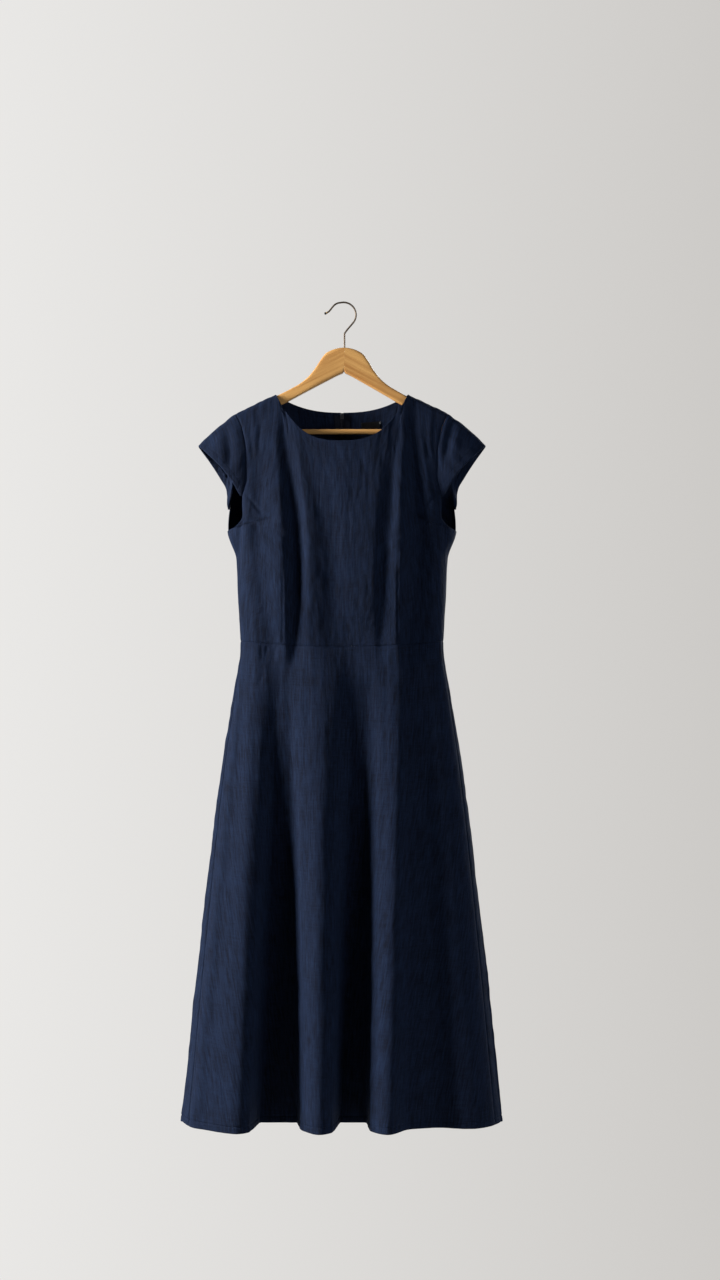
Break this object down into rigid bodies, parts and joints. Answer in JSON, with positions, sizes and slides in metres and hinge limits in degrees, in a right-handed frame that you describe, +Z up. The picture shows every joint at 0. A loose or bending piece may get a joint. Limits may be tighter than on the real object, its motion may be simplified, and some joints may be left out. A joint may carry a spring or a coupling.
{
  "type": "a-line dress on a wooden hanger",
  "caption": "A-line dress with cap sleeves, round neck, waist seam and a centre-back zip, draped on a wooden hanger with a trouser bar.",
  "frame": {"origin": "underside of the hook's bend, where a peg or rail bears, in the middle of the hanger's thickness", "axes": "+Z up along the hook's shank; -Y is the front of the dress; +X is to the right when looking at the front"},
  "size_m": [0.5097, 0.1335, 1.3109],
  "materials": {
    "cloth": "matt slubbed plain weave",
    "zip_tape": "fine woven tape",
    "zip_metal": "satin",
    "label": "smooth woven",
    "wood": "satin varnish",
    "steel": "dull nickel",
    "tip": "dark cap"
  },
  "bodies": {
    "garment": {"bodice_front": "cloth", "bodice_back_left": "cloth", "bodice_back_right": "cloth", "sleeve_left": "cloth", "sleeve_right": "cloth", "skirt_front": "cloth", "skirt_back_left": "cloth", "skirt_back_right": "cloth", "zip_tape_left": "zip_tape", "zip_tape_right": "zip_tape", "zip_chain": "zip_tape", "zip_slider": "zip_metal", "neck_label": "label", "hanger_arms": "wood", "hanger_bar": "wood", "hanger_hook": "steel", "hanger_hook_tip": "tip"},
    "pull": {"zip_pull": "zip_metal"}
  },
  "joints": [
    {"name": "pull_swing", "type": "hinge", "parent": "garment", "child": "pull", "pos_m": [-0.004, 0.02104, -0.1771], "axis": [1, 0, 0], "range_deg": [0, 150]}
  ]
}
